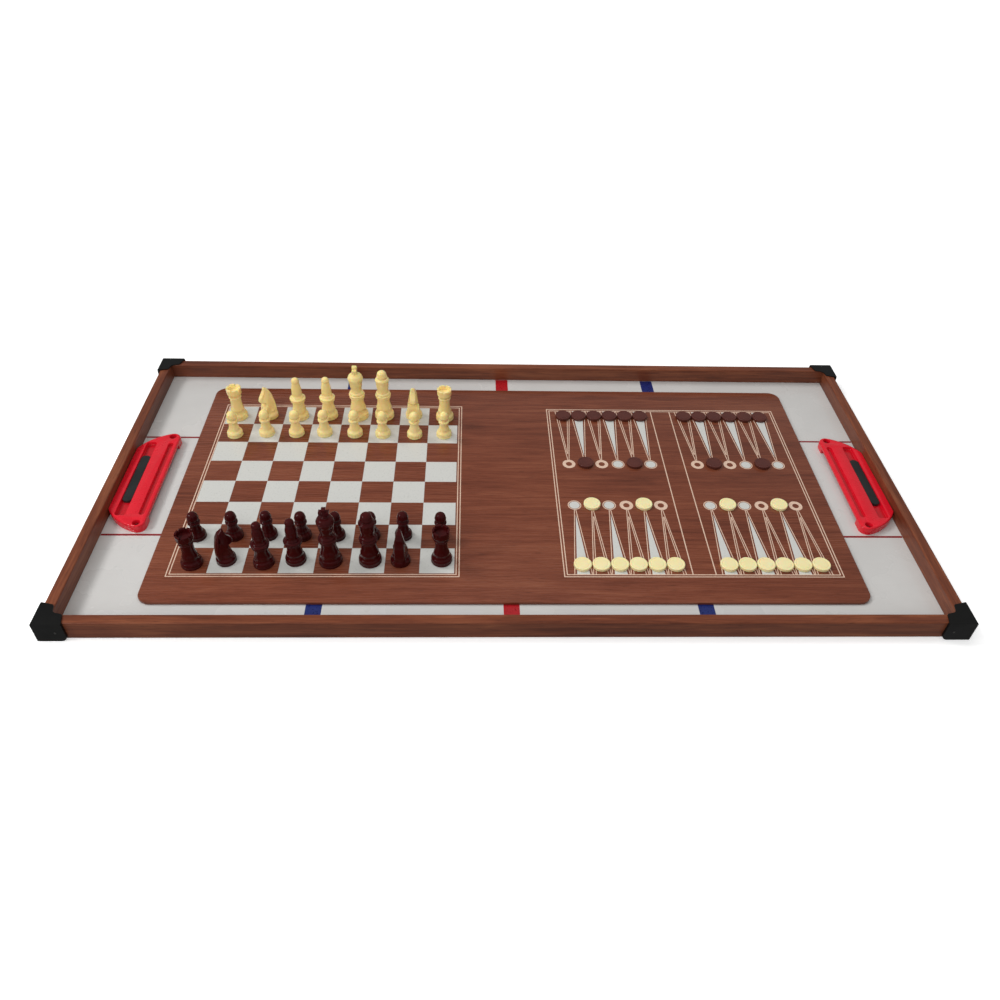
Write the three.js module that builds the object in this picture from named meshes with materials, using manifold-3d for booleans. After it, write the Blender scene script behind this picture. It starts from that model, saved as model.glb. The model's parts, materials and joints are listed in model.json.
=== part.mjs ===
// Table-top games set: a shallow wood-framed rink with two hood goals, a loose chess and backgammon
// board lying on the rink, thirty-two chess pieces and thirty-two checkers.
// Millimetres. +X runs to the right along the tray, +Y to the back, +Z up.
// The origin is the middle of the tray at the level of the corner caps' undersides.

import * as THREE from "three";
import { mergeVertices } from "three/addons/utils/BufferGeometryUtils.js";
import Module from "manifold-3d";

const wasm = await Module();
wasm.setup();

// Driving dimensions
const SQUARE = 38;
const TRAY_LENGTH = 943;
const TRAY_DEPTH = 474;
const RAIL_WIDTH = 12;
const RAIL_HEIGHT = 22;
const RAIL_ROUND = 1.5;
const PANEL_THICKNESS = 2.5;
const REBATE_DEPTH = 5;
const GAP = 0.3;
const SAME_POINT = 1e-3;

const CAP_WALL = 3;
const CAP_PLATE = 1.5;
const CAP_REACH = 27;
const CAP_ROUND = 5;

const GOAL_HEIGHT = 10;
const GOAL_ROOF = 4;
const GOAL_Y = -3;
const GOAL_FRONT_X = 411;
const GOAL_NOSE = 9;
const GOAL_SWEEP = 61.5;
const SWEEP_CENTRE = [405, 26.5];
const GOAL_WALL = 2.5;
const MOUTH_HALF = 66;
const GROOVE_X = 419;
const GROOVE_WIDTH = 6;
const GROOVE_DEPTH = 3;
const CHANNEL_X = 443;
const CHANNEL_WIDTH = 12;
const CHANNEL_LENGTH = 134;
const CHANNEL_DEPTH = 4.5;
const CHANNEL_ROUND = 3;
const SCREW_WELL_RADIUS = 4.25;
const SCREW_WELL_DEPTH = 6;
const SCREW_WELL_X = 420.5;
const SCREW_WELL_Y = 79;
const PAD_WIDTH = 11;
const PAD_LENGTH = 84;
const PAD_HEIGHT = 3.5;

const INSERT_LENGTH = 20.5 * SQUARE;
const INSERT_DEPTH = 10.25 * SQUARE;
const INSERT_THICKNESS = 3.5;
const INSERT_CORNER = 14;
const INSERT_CENTRE = [-1.5, -1];
const CHESS_CENTRE = [-213, -2];
const BACKGAMMON_CENTRE = [213.5, -4.5];

const CHECKER_RADIUS = 10;
const CHECKER_HEIGHT = 4;
const POINT_PITCH = 20.7;
const HALF_BOARD_OFFSET = 81.5;
const ROW_OFFSET = 137.5;
const APEX_OFFSET = 38.5;
const BRIDGE_WIDTH = 5;

// Levels above the surface that the set stands on
const railBottom = CAP_PLATE;
const railTop = railBottom + RAIL_HEIGHT;
const floorLevel = railBottom + PANEL_THICKNESS;
const boardLevel = floorLevel + INSERT_THICKNESS;
const innerX = TRAY_LENGTH / 2 - RAIL_WIDTH;
const innerY = TRAY_DEPTH / 2 - RAIL_WIDTH;

// Materials
const plain = (color, roughness) => new THREE.MeshStandardMaterial({ color, roughness, metalness: 0 });
const railWood = plain(0x6e3c29, 0.45);
const boardWood = plain(0x74412f, 0.4);
const rinkWhite = plain(0xd6d4cf, 0.3);
const capBlack = plain(0x1b1c1d, 0.5);
const goalRed = plain(0xb51224, 0.28);
const padBlack = plain(0x202425, 0.7);
const ivory = plain(0xe8c97c, 0.3);
const mahogany = plain(0x3a0f10, 0.22);

const set = new THREE.Group();

function addPiece(name, geometry, material, position = [0, 0, 0], turn = 0) {
  const mesh = new THREE.Mesh(geometry, material);
  mesh.name = name;
  mesh.position.set(...position);
  mesh.rotation.z = turn;
  set.add(mesh);
}

// Joining and cutting
function toSolid(geometry) {
  const bare = geometry.clone();
  bare.deleteAttribute("normal");
  bare.deleteAttribute("uv");
  const merged = mergeVertices(bare, 1e-4);
  return new wasm.Manifold(new wasm.Mesh({
    numProp: 3,
    vertProperties: new Float32Array(merged.attributes.position.array),
    triVerts: new Uint32Array(merged.index.array),
  }));
}

function toGeometry(solid) {
  const mesh = solid.getMesh();
  const geometry = new THREE.BufferGeometry();
  geometry.setAttribute("position", new THREE.BufferAttribute(new Float32Array(mesh.vertProperties), 3));
  geometry.setIndex(new THREE.BufferAttribute(new Uint32Array(mesh.triVerts), 1));
  geometry.computeVertexNormals();
  return geometry;
}

// Basic forms
function block(low, high) {
  const size = high.map((value, axis) => value - low[axis]);
  const geometry = new THREE.BoxGeometry(...size);
  geometry.translate(...low.map((value, axis) => value + size[axis] / 2));
  return geometry;
}

// An outline's points, with those that repeat the one before or the first left out.
function distinctPoints(shape, curveSegments) {
  const points = shape.getPoints(curveSegments);
  return points.filter((point, index) => {
    const previous = points[(index + points.length - 1) % points.length];
    return point.distanceTo(previous) > SAME_POINT;
  });
}

function prism(shape, low, high, curveSegments = 3) {
  const outline = new THREE.Shape(distinctPoints(shape, curveSegments));
  const geometry = new THREE.ExtrudeGeometry(outline, { depth: high - low, bevelEnabled: false });
  geometry.translate(0, 0, low);
  return geometry;
}

// Turns a profile of [radius, height] points about the Z axis.
function turned(profile, segments) {
  const points = profile.map(([radius, height]) => new THREE.Vector2(radius, height));
  const geometry = new THREE.LatheGeometry(points, segments);
  geometry.rotateX(Math.PI / 2);
  return geometry;
}

function roundedRectangle(length, depth, radius) {
  const x = length / 2;
  const y = depth / 2;
  const shape = new THREE.Shape();
  shape.moveTo(-x + radius, -y);
  shape.lineTo(x - radius, -y);
  shape.absarc(x - radius, -y + radius, radius, -Math.PI / 2, 0);
  shape.lineTo(x, y - radius);
  shape.absarc(x - radius, y - radius, radius, 0, Math.PI / 2);
  shape.lineTo(-x + radius, y);
  shape.absarc(-x + radius, y - radius, radius, Math.PI / 2, Math.PI);
  shape.lineTo(-x, -y + radius);
  shape.absarc(-x + radius, -y + radius, radius, Math.PI, Math.PI * 1.5);
  return shape;
}

// Tray. A rail's section has its outer face at x = 0, and a rebate under its inner edge for the panel.
function railSection() {
  const rebate = PANEL_THICKNESS + GAP;
  const section = new THREE.Shape();
  section.moveTo(0, 0);
  section.lineTo(RAIL_WIDTH - REBATE_DEPTH, 0);
  section.lineTo(RAIL_WIDTH - REBATE_DEPTH, rebate);
  section.lineTo(RAIL_WIDTH, rebate);
  section.lineTo(RAIL_WIDTH, RAIL_HEIGHT - RAIL_ROUND);
  section.absarc(RAIL_WIDTH - RAIL_ROUND, RAIL_HEIGHT - RAIL_ROUND, RAIL_ROUND, 0, Math.PI / 2);
  section.lineTo(RAIL_ROUND, RAIL_HEIGHT);
  section.absarc(RAIL_ROUND, RAIL_HEIGHT - RAIL_ROUND, RAIL_ROUND, Math.PI / 2, Math.PI);
  return section;
}

// A rail of one length, its outer face on y = 0, its body towards +Y, its middle over the origin.
function rail(length) {
  const geometry = prism(railSection(), -length / 2, length / 2, 2);
  geometry.rotateX(Math.PI / 2);
  geometry.rotateZ(Math.PI / 2);
  return geometry;
}

function addTray() {
  const sideLength = TRAY_DEPTH - 2 * RAIL_WIDTH - 2 * GAP;
  const panelX = innerX + REBATE_DEPTH - GAP;
  const panelY = innerY + REBATE_DEPTH - GAP;
  addPiece("playfield_panel", block([-panelX, -panelY, railBottom], [panelX, panelY, floorLevel]), rinkWhite);
  addPiece("rail_front", rail(TRAY_LENGTH), railWood, [0, -TRAY_DEPTH / 2, railBottom]);
  addPiece("rail_back", rail(TRAY_LENGTH), railWood, [0, TRAY_DEPTH / 2, railBottom], Math.PI);
  addPiece("rail_left", rail(sideLength), railWood, [-TRAY_LENGTH / 2, 0, railBottom], -Math.PI / 2);
  addPiece("rail_right", rail(sideLength), railWood, [TRAY_LENGTH / 2, 0, railBottom], Math.PI / 2);
}

// A corner cap in plan: an L round a corner at the origin, its legs along +X and +Y.
function capOutline() {
  const shape = new THREE.Shape();
  shape.moveTo(-CAP_WALL + CAP_ROUND, -CAP_WALL);
  shape.lineTo(CAP_REACH, -CAP_WALL);
  shape.lineTo(CAP_REACH, RAIL_WIDTH);
  shape.lineTo(RAIL_WIDTH, RAIL_WIDTH);
  shape.lineTo(RAIL_WIDTH, CAP_REACH);
  shape.lineTo(-CAP_WALL, CAP_REACH);
  shape.lineTo(-CAP_WALL, -CAP_WALL + CAP_ROUND);
  shape.absarc(-CAP_WALL + CAP_ROUND, -CAP_WALL + CAP_ROUND, CAP_ROUND, Math.PI, Math.PI * 1.5);
  return shape;
}

function cornerCap() {
  const reach = CAP_REACH + 1;
  const whole = toSolid(prism(capOutline(), 0, railTop + CAP_PLATE, 2));
  const rails = toSolid(block([-GAP, -GAP, railBottom - GAP], [reach, reach, railTop + GAP]));
  return toGeometry(whole.subtract(rails));
}

function addCornerCaps() {
  const x = TRAY_LENGTH / 2;
  const y = TRAY_DEPTH / 2;
  const corners = [
    ["front_left", -x, -y, 0],
    ["front_right", x, -y, Math.PI / 2],
    ["back_right", x, y, Math.PI],
    ["back_left", -x, y, -Math.PI / 2],
  ];
  for (const [place, cornerX, cornerY, turn] of corners) {
    addPiece(`corner_cap_${place}`, cornerCap(), capBlack, [cornerX, cornerY, 0], turn);
  }
}

// A goal in plan, for the right-hand end: straight along the mouth, a small nose at each end of it, and
// from each nose a large sweep to the straight side at the rail.
function goalOutline(inset) {
  const front = GOAL_FRONT_X + inset;
  const back = innerX - GAP - inset;
  const nose = GOAL_NOSE - inset;
  const sweep = GOAL_SWEEP - inset;
  const [sweepX, sweepY] = SWEEP_CENTRE;
  const noseX = front + nose;
  const noseY = sweepY + Math.sqrt((sweep - nose) ** 2 - (noseX - sweepX) ** 2);
  const joint = Math.atan2(noseY - sweepY, noseX - sweepX);
  const end = Math.acos((back - sweepX) / sweep);
  const shape = new THREE.Shape();
  shape.moveTo(front, -noseY);
  shape.absarc(noseX, -noseY, nose, Math.PI, Math.PI * 2 - joint);
  shape.absarc(sweepX, -sweepY, sweep, -joint, -end);
  shape.absarc(sweepX, sweepY, sweep, end, joint);
  shape.absarc(noseX, noseY, nose, joint, Math.PI);
  return shape;
}

function slotOutline(width, length) {
  return roundedRectangle(width, length, width / 2);
}

// Cut through the top of a goal, of one outline about the point (x, y), down to a depth.
function topCut(outline, depth, x, y = 0) {
  const geometry = prism(outline, GOAL_HEIGHT - depth, GOAL_HEIGHT + 1, 4);
  geometry.translate(x, y, 0);
  return toSolid(geometry);
}

function goal() {
  const roof = GOAL_HEIGHT - GOAL_ROOF;
  const channelFront = CHANNEL_X - CHANNEL_WIDTH / 2 - GOAL_WALL;
  const lowRoof = GOAL_HEIGHT - CHANNEL_DEPTH - GOAL_WALL;
  const mouth = block([GOAL_FRONT_X - 1, -MOUTH_HALF, -1], [channelFront, MOUTH_HALF, roof]);
  const underChannel = block([channelFront - 1, -MOUTH_HALF, -2], [innerX, MOUTH_HALF, lowRoof]);
  const inside = toSolid(prism(goalOutline(GOAL_WALL), -1, roof));
  const groove = slotOutline(GROOVE_WIDTH, 2 * MOUTH_HALF);
  const channel = roundedRectangle(CHANNEL_WIDTH, CHANNEL_LENGTH, CHANNEL_ROUND);
  let body = toSolid(prism(goalOutline(0), 0, GOAL_HEIGHT, 4));
  body = body.subtract(toSolid(mouth));
  body = body.subtract(toSolid(underChannel).intersect(inside));
  body = body.subtract(topCut(groove, GROOVE_DEPTH, GROOVE_X));
  body = body.subtract(topCut(channel, CHANNEL_DEPTH, CHANNEL_X));
  for (const side of [-1, 1]) {
    const well = slotOutline(2 * SCREW_WELL_RADIUS, 2 * SCREW_WELL_RADIUS);
    body = body.subtract(topCut(well, SCREW_WELL_DEPTH, SCREW_WELL_X, side * SCREW_WELL_Y));
  }
  return toGeometry(body);
}

function goalPad() {
  return prism(slotOutline(PAD_WIDTH, PAD_LENGTH), 0, PAD_HEIGHT);
}

function addGoals() {
  const padLevel = floorLevel + GOAL_HEIGHT - CHANNEL_DEPTH;
  for (const [side, sign, turn] of [["right", 1, 0], ["left", -1, Math.PI]]) {
    addPiece(`goal_${side}`, goal(), goalRed, [0, GOAL_Y, floorLevel], turn);
    addPiece(`goal_pad_${side}`, goalPad(), padBlack, [sign * CHANNEL_X, GOAL_Y, padLevel], turn);
  }
}

// Loose board
function addInsert() {
  const outline = roundedRectangle(INSERT_LENGTH, INSERT_DEPTH, INSERT_CORNER);
  addPiece("game_insert", prism(outline, 0, INSERT_THICKNESS), boardWood, [...INSERT_CENTRE, floorLevel]);
}

// Chess pieces: profiles are [radius, height] from the foot to the top.
const PROFILES = {
  pawn: [
    [0, 0], [9.6, 0], [9.6, 5], [5.6, 11], [4.6, 20], [6.4, 23], [3.9, 25], [5.8, 30.5], [4.2, 35], [0, 36.5],
  ],
  rook: [
    [0, 0], [11.3, 0], [11.3, 6], [6.9, 13], [6.3, 24], [8, 33], [8.4, 46], [5.8, 46], [5.8, 42], [0, 42],
  ],
  knight: [
    [0, 0], [11, 0], [11, 6], [7.2, 12], [6.6, 16], [0, 17],
  ],
  bishop: [
    [0, 0], [11, 0], [11, 6], [7, 15], [6.4, 25], [9.4, 29], [9.4, 32], [5.8, 36], [5.2, 47], [3.4, 57], [0, 60.5],
  ],
  queen: [
    [0, 0], [12.2, 0], [12.2, 7], [7.6, 17], [7, 30], [9.7, 34], [9.7, 37], [6.8, 41], [6.8, 48],
    [8.6, 59], [5, 62.5], [4.5, 66.5], [0, 70.5],
  ],
  king: [
    [0, 0], [12.5, 0], [12.5, 7], [7.8, 17], [7, 30], [9.8, 34], [9.8, 37], [6.8, 41], [6.7, 49],
    [9.4, 61], [6.5, 67], [2.6, 71], [3.9, 74.5], [0, 78],
  ],
};
const SEGMENTS = { pawn: 12, rook: 16, knight: 14, bishop: 14, queen: 14, king: 14 };
const KNIGHT_THICKNESS = 8.5;
// The knight's head from the side, as [forwards, height].
const KNIGHT_HEAD = [
  [-7, 13], [7, 13], [4.5, 22], [3.5, 28], [9.5, 27], [10.5, 32], [5.5, 40], [1.5, 48], [-4, 43], [-8, 33], [-8.5, 22],
];

function knight() {
  const head = new THREE.Shape(KNIGHT_HEAD.map(([forwards, height]) => new THREE.Vector2(forwards, height)));
  const headGeometry = prism(head, -KNIGHT_THICKNESS / 2, KNIGHT_THICKNESS / 2);
  headGeometry.rotateX(Math.PI / 2);
  headGeometry.rotateZ(-Math.PI / 2);
  const foot = toSolid(turned(PROFILES.knight, SEGMENTS.knight));
  return toGeometry(foot.add(toSolid(headGeometry)));
}

function chessPiece(kind) {
  return kind === "knight" ? knight() : turned(PROFILES[kind], SEGMENTS[kind]);
}

// Each side's rows from file a, at the left, to file h: the kind and how far it stands off its square's middle.
const SET_UP = [
  {
    side: "ivory", rank: 3.5, turn: 0,
    pieces: [
      ["rook", -3, -3], ["knight", -1, -1], ["bishop", 1, -2], ["bishop", 1, 0],
      ["king", 2, 0], ["queen", -2, 1], ["knight", -1, 1], ["rook", 2, -2],
    ],
  },
  {
    side: "ivory", rank: 2.5, turn: 0,
    pieces: [
      ["pawn", 0, -4], ["pawn", 2, -1], ["pawn", 2, -1], ["pawn", 0, 0],
      ["pawn", 1, -1], ["pawn", -1, -2], ["pawn", 2, -3], ["pawn", 2, -2],
    ],
  },
  {
    side: "dark", rank: -2.5, turn: Math.PI,
    pieces: [
      ["pawn", -3, -1], ["pawn", 0, 0], ["pawn", 0, 1], ["pawn", 0, 0],
      ["pawn", 0, 0], ["pawn", 1, 0], ["pawn", -1, 1], ["pawn", 3, 0],
    ],
  },
  {
    side: "dark", rank: -3.5, turn: Math.PI,
    pieces: [
      ["rook", 1, -5], ["knight", -1, 0], ["bishop", 2, -4], ["bishop", -2, 1],
      ["king", -2, -1], ["queen", 3, 0], ["knight", -2, -1], ["rook", 5, 1],
    ],
  },
];
const FILES = "abcdefgh";

function addChessPieces() {
  for (const { side, rank, turn, pieces } of SET_UP) {
    pieces.forEach(([kind, offX, offY], file) => {
      const x = CHESS_CENTRE[0] + (file - 3.5) * SQUARE + offX;
      const y = CHESS_CENTRE[1] + rank * SQUARE + offY;
      const material = side === "ivory" ? ivory : mahogany;
      addPiece(`${side}_${kind}_${FILES[file]}`, chessPiece(kind), material, [x, y, boardLevel], turn);
    });
  }
}

// Checkers: one stands on the second and the fifth point of each quarter, and six in a row at its border.
function checker(x = 0) {
  const geometry = turned([
    [0, 0],
    [CHECKER_RADIUS, 0],
    [CHECKER_RADIUS, CHECKER_HEIGHT],
    [0, CHECKER_HEIGHT],
  ], 16);
  geometry.translate(x, 0, 0);
  return geometry;
}

const pointOffset = (index) => (index - 2.5) * POINT_PITCH;

function checkerRow() {
  const reach = pointOffset(5);
  let row = toSolid(block([-reach, -BRIDGE_WIDTH / 2, 0], [reach, BRIDGE_WIDTH / 2, CHECKER_HEIGHT]));
  for (let index = 0; index < 6; index += 1) {
    row = row.add(toSolid(checker(pointOffset(index))));
  }
  return toGeometry(row);
}

function addCheckers() {
  for (const [side, sign, material] of [["dark", 1, mahogany], ["ivory", -1, ivory]]) {
    for (const [half, direction] of [["left", -1], ["right", 1]]) {
      const x = BACKGAMMON_CENTRE[0] + direction * HALF_BOARD_OFFSET;
      const rowY = BACKGAMMON_CENTRE[1] + sign * ROW_OFFSET;
      const apexY = BACKGAMMON_CENTRE[1] + sign * APEX_OFFSET;
      addPiece(`${side}_checker_row_${half}`, checkerRow(), material, [x, rowY, boardLevel]);
      for (const [place, index] of [["second", 1], ["fifth", 4]]) {
        const name = `${side}_checker_${place}_${half}`;
        addPiece(name, checker(), material, [x + pointOffset(index), apexY, boardLevel]);
      }
    }
  }
}

addTray();
addCornerCaps();
addGoals();
addInsert();
addChessPieces();
addCheckers();

export default set;
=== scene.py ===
# Looks of a table-top games set: a wood-framed glide-hockey tray with two red hood goals, and on it a loose
# printed board with chess pieces and backgammon checkers. Metres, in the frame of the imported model.

import json
import math

import bmesh
import bpy
from mathutils import Euler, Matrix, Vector

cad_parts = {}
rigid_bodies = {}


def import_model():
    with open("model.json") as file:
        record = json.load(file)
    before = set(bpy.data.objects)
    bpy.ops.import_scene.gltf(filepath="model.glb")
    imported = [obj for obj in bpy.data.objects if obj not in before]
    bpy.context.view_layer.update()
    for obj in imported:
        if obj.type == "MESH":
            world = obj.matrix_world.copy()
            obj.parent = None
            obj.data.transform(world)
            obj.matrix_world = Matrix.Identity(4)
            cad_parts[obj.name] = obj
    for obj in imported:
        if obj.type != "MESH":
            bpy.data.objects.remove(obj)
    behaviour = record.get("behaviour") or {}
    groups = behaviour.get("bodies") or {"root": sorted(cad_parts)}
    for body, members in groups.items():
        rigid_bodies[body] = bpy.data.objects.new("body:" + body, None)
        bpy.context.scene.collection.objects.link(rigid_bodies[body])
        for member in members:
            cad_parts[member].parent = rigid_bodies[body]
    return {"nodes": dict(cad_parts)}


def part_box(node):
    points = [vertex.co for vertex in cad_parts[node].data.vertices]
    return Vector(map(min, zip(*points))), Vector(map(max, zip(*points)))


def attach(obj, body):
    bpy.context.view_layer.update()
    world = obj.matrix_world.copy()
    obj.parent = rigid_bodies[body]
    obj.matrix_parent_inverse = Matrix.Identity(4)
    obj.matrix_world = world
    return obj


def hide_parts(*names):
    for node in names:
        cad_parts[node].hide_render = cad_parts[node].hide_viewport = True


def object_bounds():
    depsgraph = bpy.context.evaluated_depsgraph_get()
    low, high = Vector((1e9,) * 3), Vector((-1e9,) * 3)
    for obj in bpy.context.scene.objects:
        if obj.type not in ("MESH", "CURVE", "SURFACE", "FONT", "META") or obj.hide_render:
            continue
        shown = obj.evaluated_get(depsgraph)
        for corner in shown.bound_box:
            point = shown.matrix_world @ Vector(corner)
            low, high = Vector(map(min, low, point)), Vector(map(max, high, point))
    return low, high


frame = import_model()
cad_low, cad_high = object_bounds()

MM = 0.001

# Camera
CAMERA_PLACE = Vector((-44.9, -780.3, 678.5)) * MM
CAMERA_TURN = (48.033, -1.589, -1.382)
CAMERA_LENS = 30.29
CAMERA_SENSOR = 36

# Studio: sizes in metres
WORLD_STRENGTH = 0.3
SUN_ENERGY = 1.1
SUN_ANGLE = 20
SUN_DIRECTION = Vector((0.62, -0.3, -0.72))
# Lamps as (name, place, size, power, mirrored): a glossy surface shows only a mirrored one
LAMPS = (
    ("soft_overhead", (0.14, 0.2, 1.4), 0.8, 4.2, False),
    ("front_fill", (-0.5, -1.5, 1.2), 1.2, 11, False),
    ("side_lamp", (-1.3, -0.5, 0.9), 0.25, 5, True),
)
FLOOR_HALF = 12
FLOOR_DROP = 0.0002
# The floor's glow rises from the first strength to the second between two distances from the middle
FLOOR_GLOW_REACH = (0.7, 3.0)
FLOOR_GLOW = (0.42, 0.8)

# Tray, in millimetres
CAP_WALL = 3
CAP_CLEARANCE = 0.3
CAP_REACH = 27
CAP_SLANT = 3.5
CAP_PLATE = 1.2
CAP_TOP = 25
CAP_SIDE_ROUND = 6.5
RAIL_WIDTH = 12
RAIL_SHARP = 50
PIN_OFFSET = 18
PIN_LEVEL = 12.5
PIN_RADIUS = 1.3
CAP_EDGE = 0.55

# Goals: a right-hand goal in millimetres, above the rink
GOAL_Y = -3
GOAL_HEIGHT = 10
GOAL_FRONT = 411
GOAL_BACK = 459.2
NOSE = 9
SWEEP = 61.5
SWEEP_CENTRE = (405, 26.5)
MOUTH_HALF = 66
ROOF = 4
GOAL_WALL = 2.5
GROOVE_X = 419
GROOVE_WIDTH = 6
GROOVE_DEPTH = 3
CHANNEL_X = 443
CHANNEL_WIDTH = 12
CHANNEL_HALF = 67
CHANNEL_DEPTH = 4.5
CHANNEL_ROUND = 3
HOLLOW_WIDTH = 90
WELL_X = 420.5
WELL_Y = 79
WELL_RADIUS = 4.25
WELL_DEPTH = 6
GOAL_SHARP = 30
# Depths between which the roof's recesses take painted shade, a deeper red
RECESS_SHADE = (2.6, 0.6)

# Prints: every ink layer is a thin solid sunk a little into its surface
PRINT_DEPTH = 0.06
PRINT_OVERLAP = 0.02

# Rink print
LINE_WIDTH = 17
BLUE_LINE_X = 206.5
GOAL_LINE_WIDTH = 3
GOAL_LINE_Y = (87, -92)
GOAL_LINE_INNER_X = 330
RINK_HALF_X = 459.5
RINK_HALF_Y = 225
RINK_EDGE = 0.2

# Loose board and its print
BOARD_CORNER = 14
FILES = 8
SQUARE = 38
CHESS_CENTRE = (-213, -2)
CHESS_BORDER_CENTRE = (-212.4, -2.2)
CHESS_BORDERS = (153.5, 156.7)
FIELD_CENTRE = (213.4, -4.6)
FIELD_BORDERS = (151.1, 154.2)
BAR_LINES = (-12.8, 12.8)
PRINT_LINE = 1.25
BORDER_LINE = 1.15
POINT_LINE = 0.95
POINT_INNER_LINE = 0.85
POINTS = 6
POINT_PITCH = 20.7
POINT_HALF_WIDTH = 9.7
HALF_FIELD = 81.5
APEX = 38.4
RING_OUTER = 8.1
RING_INNER = 3.9
DISC_RIM = 6.9
DISC_RADIUS = 6.2


def colour(red, green, blue):
    """A display colour, 0 to 255, as the linear colour that shaders take."""
    def linear(value):
        value = value / 255
        if value <= 0.04045:
            return value / 12.92
        return ((value + 0.055) / 1.055) ** 2.4
    return (linear(red), linear(green), linear(blue), 1)


# ---------------------------------------------------------------- shader building


class Shader:
    """A node material under construction."""

    def __init__(self, name):
        self.material = bpy.data.materials.new(name)
        self.material.use_nodes = True
        self.tree = self.material.node_tree
        self.surface = self.tree.nodes["Principled BSDF"]
        self.place = self.add("ShaderNodeTexCoord").outputs["Object"]

    def add(self, kind, **settings):
        """A new node of this kind, with its settings."""
        node = self.tree.nodes.new(kind)
        for key, value in settings.items():
            setattr(node, key, value)
        return node

    def feed(self, socket, value):
        """Links a socket to another's output, or sets it to a constant."""
        if isinstance(value, bpy.types.NodeSocket):
            self.tree.links.new(value, socket)
        else:
            socket.default_value = value

    def set(self, **inputs):
        """Feeds the surface's inputs, named with underscores for spaces."""
        for key, value in inputs.items():
            self.feed(self.surface.inputs[key.replace("_", " ")], value)

    def stretched(self, scale):
        """The object's own coordinates, scaled by axis."""
        node = self.add("ShaderNodeMapping")
        self.feed(node.inputs["Vector"], self.place)
        node.inputs["Scale"].default_value = scale
        return node.outputs["Vector"]

    def noise(self, scale, detail=3, roughness=0.5, distortion=0, vector=None):
        node = self.add("ShaderNodeTexNoise")
        self.feed(node.inputs["Vector"], vector or self.place)
        node.inputs["Scale"].default_value = scale
        node.inputs["Detail"].default_value = detail
        node.inputs["Roughness"].default_value = roughness
        node.inputs["Distortion"].default_value = distortion
        return node.outputs["Fac"]

    def math(self, operation, first, second):
        node = self.add("ShaderNodeMath", operation=operation)
        self.feed(node.inputs[0], first)
        self.feed(node.inputs[1], second)
        return node.outputs[0]

    def mix(self, factor, first, second):
        node = self.add("ShaderNodeMix", data_type="RGBA")
        self.feed(node.inputs["Factor"], factor)
        self.feed(node.inputs[6], first)
        self.feed(node.inputs[7], second)
        return node.outputs[2]

    def ramp(self, factor, stops):
        """A colour that blends between (position, colour) stops."""
        node = self.add("ShaderNodeValToRGB")
        self.feed(node.inputs[0], factor)
        steps = node.color_ramp.elements
        while len(steps) < len(stops):
            steps.new(1)
        for step, (position, value) in zip(steps, stops):
            step.position = position
            step.color = value
        return node.outputs["Color"]

    def span(self, value, low, high, new_low, new_high):
        """The value, moved from one range to another and held at its ends."""
        node = self.add("ShaderNodeMapRange")
        for socket, number in zip(node.inputs, (value, low, high, new_low, new_high)):
            self.feed(socket, number)
        return node.outputs[0]

    def facing(self, axis):
        """How far the surface faces along an axis, from -1 to 1."""
        split = self.add("ShaderNodeSeparateXYZ")
        geometry = self.add("ShaderNodeNewGeometry")
        self.feed(split.inputs[0], geometry.outputs["Normal"])
        return split.outputs[axis]

    def bump(self, height, distance, strength):
        node = self.add("ShaderNodeBump")
        node.inputs["Strength"].default_value = strength
        node.inputs["Distance"].default_value = distance
        self.feed(node.inputs["Height"], height)
        self.feed(self.surface.inputs["Normal"], node.outputs["Normal"])


# ---------------------------------------------------------------- materials


def wood(name, along, dark, middle, light, roughness, coat):
    """Printed wood grain along the X or Y axis: broad tone, long streaks, fine fibres and dark pores."""
    shader = Shader(name)

    def grain(length, width):
        across = 1 / (width * MM)
        lengthwise = 1 / (length * MM)
        return (lengthwise, across, across) if along == "X" else (across, lengthwise, across)

    broad = shader.noise(1, 2, 0.5, 0.6, shader.stretched(grain(320, 46)))
    streaks = shader.noise(1, 4, 0.62, 0.9, shader.stretched(grain(120, 7)))
    fibres = shader.noise(1, 3, 0.6, 0.2, shader.stretched(grain(34, 1.1)))
    pores = shader.noise(1, 2, 0.5, 0, shader.stretched(grain(13, 0.7)))
    figure = shader.math("ADD", shader.math("MULTIPLY", broad, 0.3), shader.math("MULTIPLY", streaks, 0.45))
    figure = shader.math("ADD", figure, shader.math("MULTIPLY", fibres, 0.25))
    tone = shader.ramp(figure, [(0.36, dark), (0.5, middle), (0.66, light)])
    pore_mask = shader.span(pores, 0.6, 0.72, 0.0, 0.55)
    tone = shader.mix(pore_mask, tone, [value * 0.45 for value in dark[:3]] + [1])
    shader.set(Base_Color=tone, Coat_Weight=coat, Coat_Roughness=0.18, Specular_IOR_Level=0.35)
    shader.set(Roughness=shader.span(fibres, 0.3, 0.7, roughness - 0.06, roughness + 0.08))
    shader.bump(shader.math("SUBTRACT", fibres, pore_mask), 0.04 * MM, 0.5)
    return shader.material


def moulded(name, main, worn, roughness, texture_size, texture_depth, **surface):
    """Moulded plastic: mottled colour, uneven gloss and a fine surface texture."""
    shader = Shader(name)
    cloud = shader.noise(55, 3, 0.6)
    speck = shader.noise(900, 2, 0.5)
    texture = shader.noise(1 / (texture_size * MM), 2, 0.55)
    tone = shader.ramp(cloud, [(0.3, main), (0.75, worn)])
    tone = shader.mix(shader.span(speck, 0.55, 0.75, 0.0, 0.12), tone, worn)
    shader.set(Base_Color=tone, **surface)
    shader.set(Roughness=shader.span(cloud, 0.3, 0.7, roughness * 0.8, roughness * 1.25))
    shader.bump(texture, texture_depth * MM, 0.6)
    return shader.material


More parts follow.
